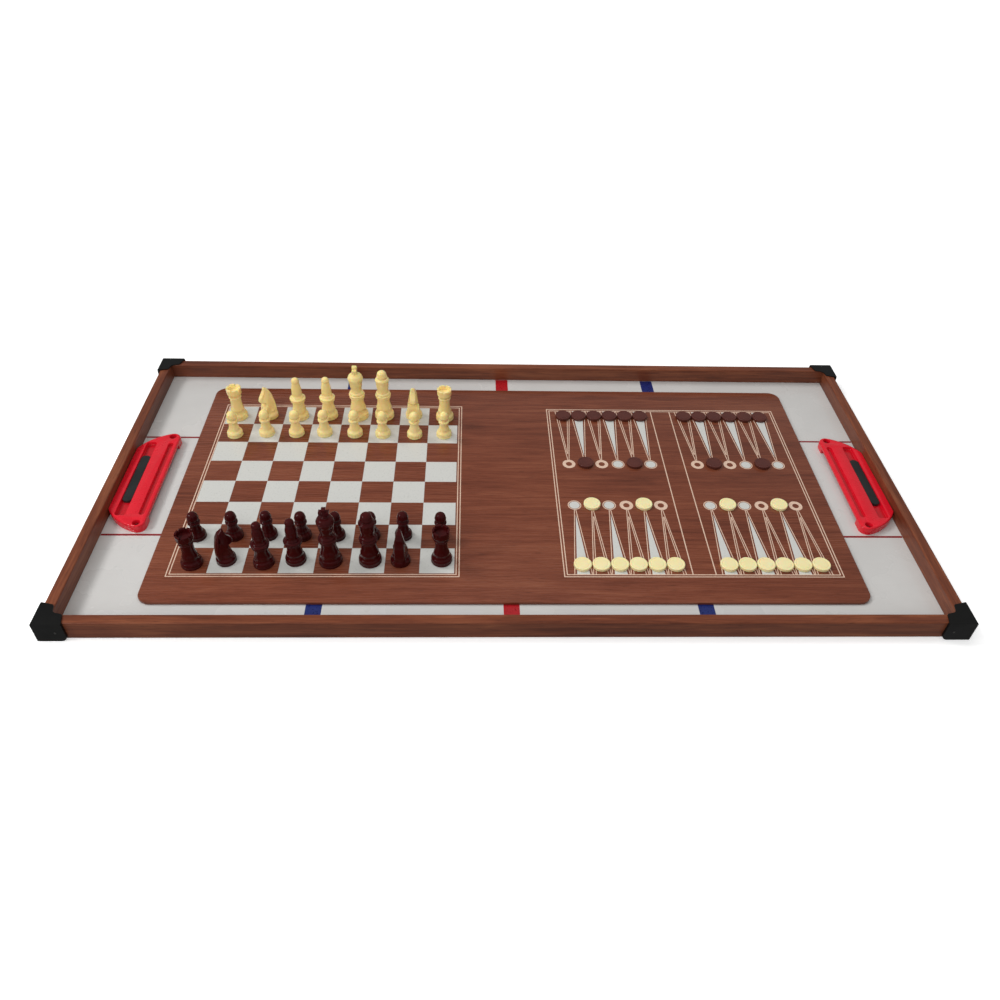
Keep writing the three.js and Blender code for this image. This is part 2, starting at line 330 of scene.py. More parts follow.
def goal_plastic():
    """Glossy red plastic, with painted shade: a deeper red on the floors of its recesses."""
    shader = Shader("goal_red")
    cloud = shader.noise(55, 3, 0.6)
    tone = shader.ramp(cloud, [(0.3, colour(216, 14, 36)), (0.75, colour(224, 24, 44))])
    split = shader.add("ShaderNodeSeparateXYZ")
    shader.feed(split.inputs[0], shader.place)
    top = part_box("goal_right")[1].z
    deep, shallow = RECESS_SHADE
    sunk = shader.span(split.outputs["Z"], top - deep * MM, top - shallow * MM, 1.0, 0.0)
    upward = shader.span(shader.facing("Z"), 0.5, 0.9, 0.0, 1.0)
    # Painted shade: upward faces sunk below the top turn a deeper red
    tone = shader.mix(shader.math("MULTIPLY", sunk, upward), tone, colour(184, 8, 26))
    shader.set(Base_Color=tone, Coat_Weight=0.15)
    shader.set(Roughness=shader.span(cloud, 0.3, 0.7, 0.22, 0.32))
    shader.bump(shader.noise(600, 2, 0.55), 0.008 * MM, 0.6)
    return shader.material


def printed(name, main, other):
    """Screen-printed ink: slightly uneven cover over the sheet below it."""
    shader = Shader(name)
    cover = shader.noise(420, 4, 0.65)
    shader.set(Base_Color=shader.ramp(cover, [(0.32, other), (0.6, main)]))
    shader.set(Roughness=shader.span(cover, 0.3, 0.7, 0.26, 0.32), Coat_Weight=0.1, Coat_Roughness=0.12)
    shader.bump(cover, 0.002 * MM, 0.3)
    return shader.material


def rink_sheet():
    """White gloss sheet above, brown pressed fibre below."""
    shader = Shader("rink_sheet")
    cloud = shader.noise(9, 4, 0.6)
    scuff = shader.noise(1, 3, 0.6, 0.4, shader.stretched((30, 260, 30)))
    white = shader.ramp(cloud, [(0.3, colour(200, 198, 195)), (0.7, colour(208, 206, 203))])
    white = shader.mix(shader.span(scuff, 0.58, 0.75, 0.0, 0.12), white, colour(188, 185, 180))
    fibre = shader.ramp(shader.noise(700, 4, 0.7), [(0.3, colour(84, 58, 38)), (0.7, colour(126, 92, 62))])
    below = shader.span(shader.facing("Z"), -0.4, 0.4, 1.0, 0.0)
    shader.set(Base_Color=shader.mix(below, white, fibre))
    gloss = shader.span(cloud, 0.3, 0.7, 0.24, 0.3)
    shader.set(Roughness=shader.span(below, 0.0, 1.0, gloss, 0.8), Coat_Weight=0.35, Coat_Roughness=0.08)
    shader.bump(shader.noise(60, 2), 0.03 * MM, 0.5)
    return shader.material


def steel(name):
    """Blackened fastener steel with turning marks."""
    shader = Shader(name)
    marks = shader.noise(2600, 3, 0.6)
    shader.set(Base_Color=shader.ramp(marks, [(0.3, colour(60, 60, 60)), (0.7, colour(104, 104, 100))]))
    shader.set(Metallic=0.9, Roughness=shader.span(marks, 0.3, 0.7, 0.3, 0.5))
    shader.bump(marks, 0.02 * MM, 0.4)
    return shader.material


RAIL_TONES = (colour(84, 40, 24), colour(114, 60, 38), colour(146, 86, 56))
BOARD_TONES = (colour(94, 46, 30), colour(118, 62, 42), colour(138, 80, 56))
rail_along_x = wood("rail_foil_x", "X", *RAIL_TONES, 0.42, 0.05)
rail_along_y = wood("rail_foil_y", "Y", *RAIL_TONES, 0.42, 0.05)
board_wood = wood("board_laminate", "X", *BOARD_TONES, 0.26, 0.1)
rink_white = rink_sheet()
cap_black = moulded(
    "cap_black", colour(10, 10, 10), colour(17, 17, 16), 0.46, 0.5, 0.03, Specular_IOR_Level=0.25,
)
goal_red = goal_plastic()
pad_black = moulded("pad_black", colour(24, 27, 27), colour(40, 44, 44), 0.6, 0.35, 0.08)
ivory_plastic = moulded(
    "ivory_plastic", colour(255, 224, 150), colour(255, 230, 162), 0.26, 2.2, 0.006,
    Subsurface_Weight=0.45, Subsurface_Scale=0.006, Subsurface_Radius=(1.0, 0.42, 0.18), Coat_Weight=0.1,
)
dark_plastic = moulded(
    "dark_plastic", colour(54, 8, 10), colour(66, 12, 12), 0.15, 2.2, 0.004, Specular_IOR_Level=0.22,
)
ivory_disc = moulded(
    "ivory_disc", colour(242, 228, 168), colour(244, 232, 182), 0.36, 2.2, 0.01,
    Subsurface_Weight=0.2, Subsurface_Scale=0.003,
)
dark_disc = moulded("dark_disc", colour(78, 36, 30), colour(90, 44, 36), 0.34, 2.2, 0.01)
fastener_steel = steel("fastener_steel")
white_ink = printed("white_ink", colour(206, 206, 201), colour(203, 203, 198))
cream_ink = printed("cream_ink", colour(226, 196, 174), colour(210, 178, 156))
red_ink = printed("red_ink", colour(176, 26, 34), colour(150, 20, 28))
line_ink = printed("line_ink", colour(140, 26, 30), colour(112, 18, 22))
blue_ink = printed("blue_ink", colour(30, 44, 110), colour(20, 30, 84))


# ---------------------------------------------------------------- mesh building


def finish_piece(name, mesh_data, material, body, replaced=(), sharp=38):
    """Puts a mesh in the scene as a piece that rides on a body, smooth except over sharp edges."""
    mesh_data.materials.clear()
    mesh_data.materials.append(material)
    mesh_data.shade_smooth()
    mesh_data.set_sharp_from_angle(angle=math.radians(sharp))
    piece = bpy.data.objects.new(name, mesh_data)
    bpy.context.collection.objects.link(piece)
    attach(piece, body)
    if replaced:
        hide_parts(*replaced)
    return piece


def to_mesh(name, form):
    """A mesh of the form, which is used up."""
    bmesh.ops.recalc_face_normals(form, faces=form.faces)
    data = bpy.data.meshes.new(name)
    form.to_mesh(data)
    form.free()
    return data


def add_stack(form, layers):
    """A solid through outlines of equal point counts: each layer is (outline, height), in millimetres."""
    rings = []
    for outline, height in layers:
        rings.append([form.verts.new(Vector((x, y, height)) * MM) for x, y in outline])
    count = len(rings[0])
    for lower, upper in zip(rings, rings[1:]):
        for index in range(count):
            after = (index + 1) % count
            form.faces.new((lower[index], lower[after], upper[after], upper[index]))
    form.faces.new(rings[0][::-1])
    form.faces.new(rings[-1])


def stack(*layers):
    """A new form with one solid through the layers."""
    form = bmesh.new()
    add_stack(form, layers)
    return form


def filleted(corners, steps=5):
    """An outline from (x, y, radius) corners, each rounded by an arc of its radius."""
    outline = []
    count = len(corners)
    for index, (x, y, radius) in enumerate(corners):
        here = Vector((x, y))
        before = (Vector(corners[index - 1][:2]) - here).normalized()
        after = (Vector(corners[(index + 1) % count][:2]) - here).normalized()
        half = before.angle(after) / 2
        centre = here + (before + after).normalized() * radius / math.sin(half)
        first = here + before * radius / math.tan(half) - centre
        last = here + after * radius / math.tan(half) - centre
        start = math.atan2(first.y, first.x)
        sweep = math.remainder(math.atan2(last.y, last.x) - start, math.tau)
        for step in range(steps + 1):
            angle = start + sweep * step / steps
            outline.append((centre.x + radius * math.cos(angle), centre.y + radius * math.sin(angle)))
    return outline


def rounded_box(length, width, radius, x=0, y=0, steps=6):
    half_x = length / 2
    half_y = width / 2
    signs = ((-1, -1), (1, -1), (1, 1), (-1, 1))
    return filleted([(x + side * half_x, y + end * half_y, radius) for side, end in signs], steps)


def circle(radius, x=0, y=0, count=32):
    turns = [math.tau * step / count for step in range(count)]
    return [(x + radius * math.cos(turn), y + radius * math.sin(turn)) for turn in turns]


def cut(form, cutters):
    """The form with the cutters' solids taken out of it."""
    return combine(form, cutters, "DIFFERENCE")


def combine(form, others, operation):
    """A mesh of the form joined with, or cut by, the other forms."""
    scene_objects = bpy.context.collection.objects
    subject = bpy.data.objects.new("subject", to_mesh("subject", form))
    scene_objects.link(subject)
    helpers = []
    for other in others:
        helper = bpy.data.objects.new("helper", to_mesh("helper", other))
        scene_objects.link(helper)
        helpers.append(helper)
        modifier = subject.modifiers.new("combine", "BOOLEAN")
        modifier.operation = operation
        modifier.solver = "EXACT"
        modifier.object = helper
    result = evaluated(subject)
    for helper in [subject, *helpers]:
        bpy.data.objects.remove(helper)
    return result


def evaluated(subject):
    """A form of the object with its modifiers applied."""
    graph = bpy.context.evaluated_depsgraph_get()
    shaped = bpy.data.meshes.new_from_object(subject.evaluated_get(graph))
    result = bmesh.new()
    result.from_mesh(shaped)
    return result


def soften(piece, width):
    """Rounds a piece's edges."""
    bevel = piece.modifiers.new("soft_edges", "BEVEL")
    bevel.width = width * MM
    bevel.segments = 2
    bevel.limit_method = "ANGLE"
    bevel.angle_limit = math.radians(35)
    bevel.harden_normals = True


# ---------------------------------------------------------------- tray


def dress_tray():
    """Gives the rails and the rink panel, which stay as modelled, their finish."""
    for node, material in (
        ("rail_front", rail_along_x),
        ("rail_back", rail_along_x),
        ("rail_left", rail_along_y),
        ("rail_right", rail_along_y),
        ("playfield_panel", rink_white),
    ):
        mesh_data = frame["nodes"][node].data
        mesh_data.materials.clear()
        mesh_data.materials.append(material)
        if node != "playfield_panel":
            mesh_data.shade_smooth()
            mesh_data.set_sharp_from_angle(angle=math.radians(RAIL_SHARP))


def cap_leg_wall():
    """The outer wall of a cap's leg along X, with its lower end corner rounded."""
    outline = filleted([
        (-CAP_WALL, 0, 0.8),
        (CAP_REACH, 0, CAP_SIDE_ROUND),
        (CAP_REACH, CAP_TOP, 2),
        (-CAP_WALL, CAP_TOP, 0.8),
    ])
    form = stack((outline, 0), (outline, CAP_WALL - CAP_CLEARANCE))
    for vertex in form.verts:
        x, z, depth = vertex.co
        vertex.co = (x, -CAP_WALL * MM + depth, z)
    return form


def cap_plate(low, high, reach):
    """A cap's flat plate over the rails' corner: a filled inner corner, and leg ends that slant inwards."""
    outline = filleted([
        (-CAP_WALL, -CAP_WALL, 1.2),
        (reach, -CAP_WALL, 0.8),
        (reach - CAP_SLANT, RAIL_WIDTH - 1, 2),
        (RAIL_WIDTH + 1.2, RAIL_WIDTH + 1.2, 6),
        (RAIL_WIDTH - 1, reach - CAP_SLANT, 2),
        (-CAP_WALL, reach, 0.8),
    ])
    return stack((outline, low), (outline, high))


def add_cap(place, corner_x, corner_y, turn):
    """A corner cap and the pin in each of its outer faces. The corner is in metres."""
    other_wall = cap_leg_wall()
    for vertex in other_wall.verts:
        vertex.co = (vertex.co.y, vertex.co.x, vertex.co.z)
    bottom = cap_plate(0, CAP_PLATE, CAP_REACH - CAP_SIDE_ROUND)
    plates = [bottom, cap_plate(CAP_TOP - CAP_PLATE, CAP_TOP, CAP_REACH)]
    form = combine(cap_leg_wall(), [other_wall, *plates], "UNION")
    place_form(form, corner_x, corner_y, 0, turn)
    name = f"corner_cap_{place}"
    cap = finish_piece(f"{name}_shell", to_mesh(name, form), cap_black, "tray", [name])
    soften(cap, CAP_EDGE)
    for leg, (x, y, lean_x, lean_y) in enumerate((
        (PIN_OFFSET, -CAP_WALL, math.pi / 2, 0),
        (-CAP_WALL, PIN_OFFSET, 0, -math.pi / 2),
    )):
        pin = turned(PIN_PROFILE, 20)
        bmesh.ops.rotate(pin, verts=pin.verts, matrix=Euler((lean_x, lean_y, 0)).to_matrix())
        bmesh.ops.translate(pin, verts=pin.verts, vec=Vector((x, y, PIN_LEVEL)) * MM)
        place_form(pin, corner_x, corner_y, 0, turn)
        finish_piece(f"cap_pin_{place}_{leg + 1}", to_mesh("cap_pin", pin), fastener_steel, "tray")


def place_form(form, x, y, z, turn=0):
    """Turns a form about Z and moves it to a place, in metres."""
    bmesh.ops.rotate(form, verts=form.verts, matrix=Euler((0, 0, turn)).to_matrix())
    bmesh.ops.translate(form, verts=form.verts, vec=(x, y, z))


def add_caps():
    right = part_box("rail_front")[1].x
    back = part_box("rail_back")[1].y
    for place, side, end, turn in (
        ("front_left", -1, -1, 0),
        ("front_right", 1, -1, math.pi / 2),
        ("back_right", 1, 1, math.pi),
        ("back_left", -1, 1, -math.pi / 2),
    ):
        add_cap(place, side * right, end * back, turn)


# ---------------------------------------------------------------- goals


def goal_outline(inset):
    """A right-hand goal in plan: straight at the mouth, a small nose and a large sweep at each end."""
    front = GOAL_FRONT + inset
    back = GOAL_BACK - inset
    nose = NOSE - inset
    sweep = SWEEP - inset
    sweep_x, sweep_y = SWEEP_CENTRE
    nose_x = front + nose
    nose_y = sweep_y + math.sqrt((sweep - nose) ** 2 - (nose_x - sweep_x) ** 2)
    joint = math.atan2(nose_y - sweep_y, nose_x - sweep_x)
    end = math.acos((back - sweep_x) / sweep)
    quarter = arc(sweep_x, sweep_y, sweep, end, joint, 12) + arc(nose_x, nose_y, nose, joint, math.pi, 8)[1:]
    return [(x, -y) for x, y in quarter[::-1]] + quarter


def arc(x, y, radius, start, stop, steps):
    angles = [start + (stop - start) * step / steps for step in range(steps + 1)]
    return [(x + radius * math.cos(angle), y + radius * math.sin(angle)) for angle in angles]


def soft_cut(outline_at, depth, flare=0.7):
    """A cutter for a pocket in a goal's top, with a flared lip. outline_at(grow) gives its outline."""
    low = GOAL_HEIGHT - depth
    return stack(
        (outline_at(-0.4), low),
        (outline_at(0), low + 0.5),
        (outline_at(0), GOAL_HEIGHT - flare),
        (outline_at(flare * 0.3), GOAL_HEIGHT - flare * 0.3),
        (outline_at(flare), GOAL_HEIGHT + 0.01),
        (outline_at(flare), GOAL_HEIGHT + 1),
    )


def goal_form():
    """A goal's shell: rounded top edge, open mouth, hollow below the channel, and recesses in the roof."""
    rounding = (
        (0, 0),
        (0, GOAL_HEIGHT - 1.8),
        (0.25, GOAL_HEIGHT - 0.9),
        (0.8, GOAL_HEIGHT - 0.3),
        (1.7, GOAL_HEIGHT),
    )
    body = stack(*[(goal_outline(inset), height) for inset, height in rounding])
    roof = GOAL_HEIGHT - ROOF
    channel_front = CHANNEL_X - CHANNEL_WIDTH / 2 - GOAL_WALL
    mouth_front = GOAL_FRONT - 4
    mouth = rounded_box(
        channel_front - mouth_front, 2 * MOUTH_HALF, 1.5, (channel_front + mouth_front) / 2,
    )
    low_roof = GOAL_HEIGHT - CHANNEL_DEPTH - GOAL_WALL
    low_back = GOAL_BACK - GOAL_WALL
    low_front = channel_front - 2
    under = rounded_box(low_back - low_front, HOLLOW_WIDTH, 3, (low_back + low_front) / 2)

    def groove(grow):
        width = GROOVE_WIDTH + 2 * grow
        return rounded_box(width, 2 * (MOUTH_HALF + grow), width / 2 - 0.01, GROOVE_X)

    def channel(grow):
        half = CHANNEL_HALF + grow
        return rounded_box(CHANNEL_WIDTH + 2 * grow, 2 * half, CHANNEL_ROUND + grow, CHANNEL_X)

    cutters = [
        stack((mouth, -1), (mouth, roof)),
        stack((under, -1.5), (under, low_roof)),
        soft_cut(groove, GROOVE_DEPTH),
        soft_cut(channel, CHANNEL_DEPTH),
    ]
    for side in (-1, 1):
        cutters.append(soft_cut(lambda grow: circle(WELL_RADIUS + grow, WELL_X, side * WELL_Y), WELL_DEPTH))
    return cut(body, cutters)


def add_goal(side, turn):
    """A goal with its pad and two screws, turned about the tray's middle."""
    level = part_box(f"goal_{side}")[0].z
    well_floor = level + (GOAL_HEIGHT - WELL_DEPTH) * MM
    form = goal_form()
    place_form(form, 0, 0, level, turn)
    bmesh.ops.translate(form, verts=form.verts, vec=(0, GOAL_Y * MM, 0))
    name = f"goal_{side}"
    finish_piece(f"{name}_shell", to_mesh(name, form), goal_red, "tray", [name], GOAL_SHARP)
    add_goal_pad(side)
    for number, end in enumerate((-1, 1)):
        screw = screw_head()
        place_form(screw, WELL_X * MM, end * WELL_Y * MM, well_floor)
        bmesh.ops.rotate(screw, verts=screw.verts, matrix=Euler((0, 0, turn)).to_matrix())
        bmesh.ops.translate(screw, verts=screw.verts, vec=(0, GOAL_Y * MM, 0))
        finish_piece(f"goal_screw_{side}_{number + 1}", to_mesh("goal_screw", screw), fastener_steel, "tray")


def add_goal_pad(side):
    """The strip in a goal's channel, with rounded ends and edges."""
    low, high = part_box(f"goal_pad_{side}")
    middle = (low + high) / 2 / MM
    size = (high - low) / MM

    def outline(inset):
        width = size.x - 2 * inset
        return rounded_box(width, size.y - 2 * inset, width / 2 - 0.05, middle.x, middle.y)

    bottom = low.z / MM
    top = high.z / MM
    form = stack(
        (outline(0), bottom),
        (outline(0), top - 0.6),
        (outline(0.2), top - 0.2),
        (outline(0.8), top),
    )
    name = f"goal_pad_{side}"
    finish_piece(f"{name}_strip", to_mesh(name, form), pad_black, "tray", [name])


def screw_head():
    """A pan head with a cross recess."""
    slots = [stack((rounded_box(length, width, 0.2), 0.9), (rounded_box(length, width, 0.2), 3))
             for length, width in ((3.4, 0.8), (0.8, 3.4))]
    return cut(turned(SCREW_PROFILE, 24), slots)


# ---------------------------------------------------------------- prints


class Print:
    """Flat ink shapes on one surface, gathered in one piece. Millimetres."""

    def __init__(self, name, ink, body, level):
        self.name = name
        self.ink = ink
        self.body = body
        self.low = level / MM - PRINT_OVERLAP
        self.high = level / MM + PRINT_DEPTH
        self.form = bmesh.new()

    def patch(self, outline):
        add_stack(self.form, [(outline, self.low), (outline, self.high)])

    def rectangle(self, x, y, width, depth):
        left = x - width / 2
        right = x + width / 2
        near = y - depth / 2
        far = y + depth / 2
        self.patch([(left, near), (right, near), (right, far), (left, far)])

    def stroke(self, start, stop, width):
        first = Vector(start)
        last = Vector(stop)
        side = (last - first).normalized().orthogonal() * width / 2
        self.patch([tuple(first - side), tuple(last - side), tuple(last + side), tuple(first + side)])

    def border(self, x, y, half, width):
        """A square border line with its middle at x, y."""
        for end in (-1, 1):
            self.rectangle(x, y + end * half, 2 * half + width, width)
            self.rectangle(x + end * half, y, width, 2 * half - width)

    def ring(self, x, y, outer, inner, count=28):
        wide = circle(outer, x, y, count)
        narrow = circle(inner, x, y, count)
        for index in range(count):
            after = (index + 1) % count
            self.patch([wide[index], wide[after], narrow[after], narrow[index]])

    def finish(self):
        finish_piece(self.name, to_mesh(self.name, self.form), self.ink, self.body, sharp=20)


def add_rink_print():
    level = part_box("playfield_panel")[1].z
    red = Print("rink_centre_line", red_ink, "tray", level)
    red.rectangle(0, 0, LINE_WIDTH, 2 * (RINK_HALF_Y - RINK_EDGE))
    red.finish()
    blue = Print("rink_blue_lines", blue_ink, "tray", level)
    for side in (-1, 1):
        blue.rectangle(side * BLUE_LINE_X, 0, LINE_WIDTH, 2 * (RINK_HALF_Y - RINK_EDGE))
    blue.finish()
    lines = Print("rink_goal_lines", line_ink, "tray", level)
    outer_x = RINK_HALF_X - RINK_EDGE
    middle = (GOAL_LINE_INNER_X + outer_x) / 2
    length = outer_x - GOAL_LINE_INNER_X
    for side in (-1, 1):
        for y in GOAL_LINE_Y:
            lines.rectangle(side * middle, y, length, GOAL_LINE_WIDTH)
    lines.finish()


def point_print(white, cream, x, base, apex, filled):
    """One long backgammon point with its ring or disc."""
    toward = 1 if apex > base else -1
    tip = apex - toward * (RING_OUTER - 0.3)
    for side in (-1, 1):
        cream.stroke((x + side * POINT_HALF_WIDTH, base), (x + side * 0.8, tip), POINT_LINE)
    inner_tip = tip - toward * 12
    if filled:
        white.patch(triangle(x, base, inner_tip + toward * 4, POINT_HALF_WIDTH - 2.6, toward))
        cream.ring(x, apex, RING_OUTER, DISC_RIM)
        white.patch(circle(DISC_RADIUS, x, apex))
    else:
        for side in (-1, 1):
            foot_x = x + side * (POINT_HALF_WIDTH - 2.9)
            cream.stroke((foot_x, base), (x + side * 0.3, inner_tip), POINT_INNER_LINE)
        cream.ring(x, apex, RING_OUTER, RING_INNER)


def triangle(x, base, tip, half_width, toward):
    corners = [(x - half_width, base), (x + half_width, base), (x, tip)]
    return corners if toward > 0 else corners[::-1]


def add_board_print():
    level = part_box("game_insert")[1].z
    white = Print("board_print_white", white_ink, "game_insert", level)
    cream = Print("board_print_cream", cream_ink, "game_insert", level)
    for file in range(FILES):
        for rank in range(FILES):
            if (file + rank) % 2 == 1:
                x = CHESS_CENTRE[0] + (file - (FILES - 1) / 2) * SQUARE
                y = CHESS_CENTRE[1] + (rank - (FILES - 1) / 2) * SQUARE
                white.rectangle(x, y, SQUARE, SQUARE)
    for half in CHESS_BORDERS:
        cream.border(*CHESS_BORDER_CENTRE, half, BORDER_LINE)
    field_x, field_y = FIELD_CENTRE
    for half in FIELD_BORDERS:
        cream.border(field_x, field_y, half, BORDER_LINE)
    for offset in BAR_LINES:
        cream.rectangle(field_x + offset, field_y, PRINT_LINE, 2 * FIELD_BORDERS[0] - 1.2)
    for end in (-1, 1):
        for half in (-1, 1):
            for index in range(POINTS):
                x = field_x + half * HALF_FIELD + (index - (POINTS - 1) / 2) * POINT_PITCH
                base = field_y + end * (FIELD_BORDERS[0] - 0.6)
                filled = index % 2 == (1 if end > 0 else 0)
                point_print(white, cream, x, base, field_y + end * APEX, filled)
    white.finish()
    cream.finish()


# ---------------------------------------------------------------- loose board


def add_board():
    low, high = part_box("game_insert")
    middle = (low + high) / 2 / MM
    size = (high - low) / MM
    bottom = low.z / MM
    top = high.z / MM

    def outline(inset):
        length = size.x - 2 * inset
        width = size.y - 2 * inset
        return rounded_box(length, width, BOARD_CORNER - inset, middle.x, middle.y, 10)

    form = stack(
        (outline(0.4), bottom),
        (outline(0), bottom + 0.4),
        (outline(0), top - 0.5),
        (outline(0.15), top - 0.15),
        (outline(0.5), top),
    )
    finish_piece("game_board", to_mesh("game_board", form), board_wood, "game_insert", ["game_insert"])


# ---------------------------------------------------------------- turned pieces


def bowed(profile, steps=7):
    """Profile points from (radius, height) corners. A third number bows the stretch that ends there
    outwards, as a part of its length; a negative one bows it inwards."""
    points = [Vector(profile[0][:2])]
    for radius, height, *bow in profile[1:]:
        start = points[-1].copy()
        stop = Vector((radius, height))
        if bow:
            chord = stop - start
            length = chord.length
            sag = abs(bow[0]) * length
            side = Vector((chord.y, -chord.x)).normalized() * (1 if bow[0] > 0 else -1)
            curve_radius = (length * length / 4 + sag * sag) / (2 * sag)
            centre = (start + stop) / 2 + side * (sag - curve_radius)
            half = math.asin(min(1, length / 2 / curve_radius))
            for step in range(1, steps):
                angle = half * (2 * step / steps - 1)
                points.append(centre + side * curve_radius * math.cos(angle)
                              + chord.normalized() * curve_radius * math.sin(angle))
        points.append(stop)
    return points


def turned(profile, segments=40):
    """A solid turned about the Z axis."""
    form = bmesh.new()
    points = [(max(point.x, 0), point.y) for point in bowed(profile)]
    rings = []
    for radius, height in points:
        if radius < 1e-6:
            rings.append([form.verts.new((0, 0, height * MM))])
        else:
            around = circle(radius, count=segments)
            rings.append([form.verts.new(Vector((x, y, height)) * MM) for x, y in around])
    for lower, upper in zip(rings, rings[1:]):
        for index in range(segments):
            after = (index + 1) % segments
            corners = [
                lower[index % len(lower)],
                lower[after % len(lower)],
                upper[after % len(upper)],
                upper[index % len(upper)],
            ]
            distinct = list(dict.fromkeys(corners))
            if len(distinct) > 2:
                form.faces.new(distinct)
    return form


PIN_PROFILE = [(0, -0.6), (PIN_RADIUS, -0.6), (PIN_RADIUS, 0.1), (0.7, 0.5, 0.2), (0.4, 0.35), (0, 0.35)]
SCREW_PROFILE = [(0, -0.3), (3.1, -0.3), (3.1, 0.5), (1.8, 1.6, 0.22), (0, 1.8, 0.04)]


def foot(radius, height):
    """A piece's foot: a rim, a groove and a bulged ring that closes in to the body above."""
    return [
        (0, 0.6), (radius * 0.7, 0.6), (radius * 0.78, 0),
        (radius * 0.95, 0), (radius, 1.1, 0.3), (radius, height * 0.28),
        (radius * 0.965, height * 0.34), (radius * 0.965, height * 0.4), (radius * 0.99, height * 0.5, 0.2),
        (radius * 0.95, height * 0.8, 0.12), (radius * 0.87, height * 0.95, 0.15), (radius * 0.85, height),
    ]


# Chess pieces' profiles: foot, body, collar, then the head
PAWN = [
    *foot(9.8, 7.6),
    (6.8, 11.4, -0.12), (5.5, 19.4, -0.05), (5.4, 20.2),
    (6.5, 21.2, 0.2), (6.7, 22.4, 0.25), (6.1, 23.7, 0.3), (4.9, 24.6, -0.15), (4.9, 25.6),
    (6.0, 30.6, 0.2), (0, 36.5, 0.207),
]
ROOK = [
    *foot(11.6, 8),
    (8.8, 13.5, -0.1), (7.0, 26, -0.05), (7.0, 31), (7.7, 31.8, 0.25), (7.8, 32.8, 0.3), (7.4, 33.6, -0.2),
    (8.2, 36.2, -0.05), (9.3, 39.4, 0.1), (9.5, 45.5), (9.1, 46), (7.3, 46), (7.0, 45.6),
    (6.4, 41.2), (0, 40.6, -0.03),
]
BISHOP = [
    *foot(11.3, 8),
    (8.9, 13, -0.1), (7.5, 22.4, -0.05), (7.5, 25),
    (8.8, 25.8, 0.25), (9.2, 26.9, 0.3), (8.9, 28, 0.2), (9.9, 29.6, 0.25), (9.2, 31.6, 0.3),
    (7.7, 32.8, -0.15), (7.2, 34, 0.3), (6.4, 36.5, -0.1), (6.3, 42, 0.04), (5.4, 49.6, 0.05),
    (4.6, 53.2, 0.03), (4.3, 54), (4.8, 57, 0.18), (0, 60.5, 0.22),
]
QUEEN = [
    *foot(12.5, 8.8),
    (10.2, 15, -0.08), (8.0, 28.4, -0.05), (8.0, 30),
    (9.2, 30.9, 0.25), (9.4, 32, 0.3), (9.0, 33, 0.2), (9.9, 34.3, 0.25), (9.4, 35.8, 0.3),
    (8.7, 36.4, -0.1), (9.0, 37.6, 0.3), (8.3, 38.8, 0.2), (7.3, 40.2, -0.15), (7.2, 44.4, -0.05),
    (8.1, 52, 0.03), (8.7, 57, 0.02), (8.5, 58.6, 0.3), (7.4, 60.2, 0.1), (6.1, 61, -0.15),
    (6.1, 65, 0.18), (0, 70.5, 0.26),
]
KING = [
    *foot(12.8, 9),
    (10.4, 15.4, -0.08), (8.1, 29.4, -0.05), (8.1, 31),
    (9.4, 31.9, 0.25), (9.6, 33, 0.3), (9.1, 34, 0.2), (10.1, 35.4, 0.25), (9.5, 36.9, 0.3),
    (8.8, 37.5, -0.1), (9.1, 38.7, 0.3), (8.3, 40, 0.2), (7.3, 41.4, -0.15), (7.1, 46, -0.05),
    (8.2, 54, 0.03), (9.4, 59.4, 0.02), (9.6, 60.6, 0.25), (9.2, 61.8, 0.25), (5.8, 66.2, 0.16),
    (3.6, 67.4, -0.15), (3.6, 69, 0.3), (0, 70, 0.12),
]
KNIGHT_FOOT = [*foot(11, 8), (8.4, 12.6, -0.12), (0, 18, 0.06)]
# The king's cross as (sideways, height, corner radius), and half its thickness
CROSS = [
    (-1.7, 68.6, 0.3), (1.7, 68.6, 0.3), (1.4, 71.0, 0.3), (5.4, 70.2, 0.4), (5.6, 74.6, 0.4),
    (1.5, 73.8, 0.3), (2.4, 78, 0.4), (-2.4, 78, 0.4), (-1.5, 73.8, 0.3), (-5.6, 74.6, 0.4),
    (-5.4, 70.2, 0.4), (-1.4, 71.0, 0.3),
]
CROSS_HALF = 2.9
CROSS_EDGE = 0.2
ROOK_NOTCH_WIDTH = 2
ROOK_NOTCH_FLOOR = 44
ROOK_NOTCH_START = 0.4
MITRE_SLIT_LEAN = -52
# The knight's head from the side: (forwards, height, corner radius)
KNIGHT_HEAD = [
    (-9.6, 8, 1), (8.6, 8, 1), (7.2, 16, 4), (4.0, 22.5, 3), (4.4, 25, 1.2), (9.4, 24.6, 1.4),
    (11.4, 27.4, 1.6), (10.0, 31.4, 1.6), (5.8, 37.4, 3), (4.2, 40.6, 2), (3.4, 47.8, 0.5),
    (0.2, 44.6, 1), (-2.8, 42.6, 3), (-5.8, 36, 5), (-8.0, 26, 6), (-9.2, 16, 4),
]
# Half the head's width at each height
KNIGHT_WIDTH = ((8, 8.6), (16, 8.2), (22, 7.6), (27, 6.2), (34, 5.2), (40, 3.9), (44, 2.7), (48, 1.3))
# The head's layers from one cheek to the other: (place across, inset)
KNIGHT_LAYERS = ((-1, 0.6), (-0.86, 0.25), (-0.6, 0), (0, 0), (0.6, 0), (0.86, 0.25), (1, 0.6))
# The head narrows from NOSE_START forwards above the chin, and from MANE_START backwards
CHIN_LEVEL = 22
NOSE_START = 3
NOSE_TAPER = 0.07
MANE_START = 5
MANE_TAPER = 0.09
MANE_LEAST = 0.55
# Carved beads on each side as (sideways, backwards, height, radius): eye, nostril, gap between the ears
KNIGHT_BEADS = ((4.6, -5.4, 35.6, 1.1), (2.6, -10.8, 28.6, 0.8), (1.6, -3.0, 47.2, 1.5))
MANE_LEVELS = (20, 25, 30, 35)
VOXEL = 0.5
SMOOTHING = 3
